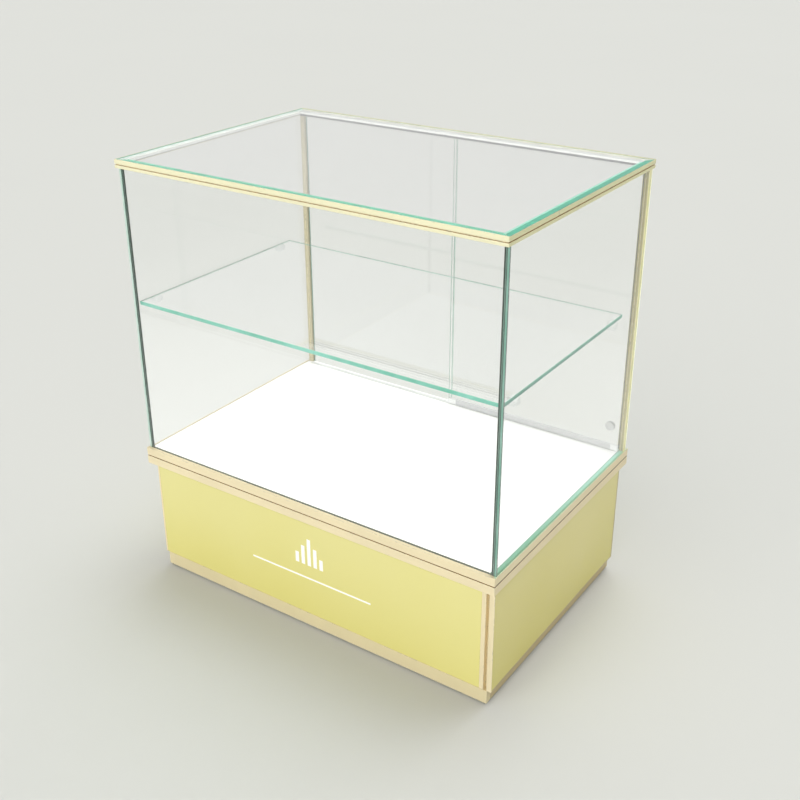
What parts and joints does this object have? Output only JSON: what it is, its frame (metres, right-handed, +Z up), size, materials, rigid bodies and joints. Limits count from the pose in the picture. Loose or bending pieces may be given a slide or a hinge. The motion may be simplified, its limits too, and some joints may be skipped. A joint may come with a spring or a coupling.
{
  "type": "glass display showcase",
  "caption": "Free-standing retail display case: clear glass box with a shelf and sliding rear door on a lacquered storage base with metal frames.",
  "frame": {"origin": "centre of the footprint on the floor, under the feet", "axes": "+Z up; -Y towards the customer side (front); +X to the right when seen from the front; the sliding door is at +Y"},
  "size_m": [0.9, 0.6, 0.975],
  "materials": {
    "champagne_metal": "satin anodised pale gold",
    "yellow_lacquer": "gloss pale yellow lacquer on board",
    "plinth_laminate": "matt gold-beige laminate",
    "white_laminate": "smooth white laminate",
    "carcass_board": "pale melamine board",
    "clear_glass": "clear float glass with polished green edges",
    "clear_acrylic": "polished clear acrylic",
    "light_diffuser": "opal diffuser",
    "white_coated_track": "white coated",
    "satin_aluminium": "satin anodised",
    "white_plastic": "moulded",
    "emblem_film": "white film",
    "polished_metal": "polished",
    "zinc_steel": "zinc plated",
    "driver_case": "moulded",
    "cable_jacket": "matt black"
  },
  "bodies": {
    "showcase": {"base_floor": "carcass_board", "bottom_track": "white_coated_track", "cabinet_rail_back": "champagne_metal", "cabinet_rail_front": "champagne_metal", "cabinet_side_rails": "champagne_metal", "cabinet_top_board": "carcass_board", "cable_grommet": "cable_jacket", "centre_divider": "carcass_board", "corner_keys": "zinc_steel", "deck_board": "white_laminate", "deck_rail_back": "champagne_metal", "deck_rail_front": "champagne_metal", "deck_side_rails": "champagne_metal", "edge_trims": "champagne_metal", "foot_inserts": "zinc_steel", "front_corner_profile": "champagne_metal", "front_emblem": "emblem_film", "front_glass": "clear_glass", "front_panel": "yellow_lacquer", "led_driver": "driver_case", "led_lead": "cable_jacket", "left_glass": "clear_glass", "light_bars": "light_diffuser", "lock_strike": "zinc_steel", "pivot_pins": "zinc_steel", "plinth_back": "plinth_laminate", "plinth_front": "champagne_metal", "plinth_side_boards": "plinth_laminate", "rear_fixed_glass": "clear_glass", "rear_post_left": "champagne_metal", "rear_post_right": "champagne_metal", "right_glass": "clear_glass", "shelf_glass": "clear_glass", "shelf_supports": "clear_acrylic", "side_panel_left": "yellow_lacquer", "side_panel_right": "yellow_lacquer", "top_glass": "clear_glass", "top_rail_back": "champagne_metal", "top_rail_front": "champagne_metal", "top_rail_left": "champagne_metal", "top_rail_right": "champagne_metal", "top_track": "white_coated_track"},
    "glass_door": {"sliding_door_glass": "clear_glass", "door_shoe": "satin_aluminium", "door_end_caps": "white_plastic", "roller_pins": "zinc_steel", "finger_pull": "polished_metal"},
    "left_roller": {"roller_left": "white_plastic"},
    "right_roller": {"roller_right": "white_plastic"},
    "left_storage_door": {"storage_door_left": "yellow_lacquer", "storage_pull_left": "polished_metal"},
    "right_storage_door": {"storage_door_right": "yellow_lacquer", "storage_pull_right": "polished_metal", "lock_housing": "polished_metal"},
    "lock_plug": {"lock_barrel": "polished_metal", "lock_cam": "zinc_steel"},
    "foot_front_left": {"levelling_foot_front_left": "zinc_steel"},
    "foot_front_right": {"levelling_foot_front_right": "zinc_steel"},
    "foot_rear_left": {"levelling_foot_rear_left": "zinc_steel"},
    "foot_rear_right": {"levelling_foot_rear_right": "zinc_steel"}
  },
  "joints": [
    {"name": "glass_door_slide", "type": "slide", "parent": "showcase", "child": "glass_door", "axis": [-1, 0, 0], "range_m": [0, 0.41]},
    {"name": "left_roller_turn", "type": "hinge", "parent": "glass_door", "child": "left_roller", "pos_m": [0.005, 0.275, 0.31655], "axis": [0, -1, 0], "continuous": true},
    {"name": "right_roller_turn", "type": "hinge", "parent": "glass_door", "child": "right_roller", "pos_m": [0.423, 0.275, 0.31655], "axis": [0, -1, 0], "continuous": true},
    {"name": "left_storage_door_hinge", "type": "hinge", "parent": "showcase", "child": "left_storage_door", "pos_m": [-0.4225, 0.274, 0.1575], "axis": [0, 0, 1], "range_deg": [0, 90]},
    {"name": "right_storage_door_hinge", "type": "hinge", "parent": "showcase", "child": "right_storage_door", "pos_m": [0.4225, 0.274, 0.1575], "axis": [0, 0, -1], "range_deg": [0, 90]},
    {"name": "lock_turn", "type": "hinge", "parent": "right_storage_door", "child": "lock_plug", "pos_m": [0.034, 0.27, 0.13], "axis": [0, 1, 0], "range_deg": [0, 90]},
    {"name": "foot_front_left_turn", "type": "hinge", "parent": "showcase", "child": "foot_front_left", "pos_m": [-0.395, -0.24, 0.04], "axis": [0, 0, 1], "continuous": true},
    {"name": "foot_front_right_turn", "type": "hinge", "parent": "showcase", "child": "foot_front_right", "pos_m": [0.395, -0.24, 0.04], "axis": [0, 0, 1], "continuous": true},
    {"name": "foot_rear_left_turn", "type": "hinge", "parent": "showcase", "child": "foot_rear_left", "pos_m": [-0.395, 0.24, 0.04], "axis": [0, 0, 1], "continuous": true},
    {"name": "foot_rear_right_turn", "type": "hinge", "parent": "showcase", "child": "foot_rear_right", "pos_m": [0.395, 0.24, 0.04], "axis": [0, 0, 1], "continuous": true}
  ],
  "couplings": [
    {"joint": "left_roller_turn", "follows": "glass_door_slide", "rad_per_m": 222.22},
    {"joint": "right_roller_turn", "follows": "glass_door_slide", "rad_per_m": 222.22}
  ]
}
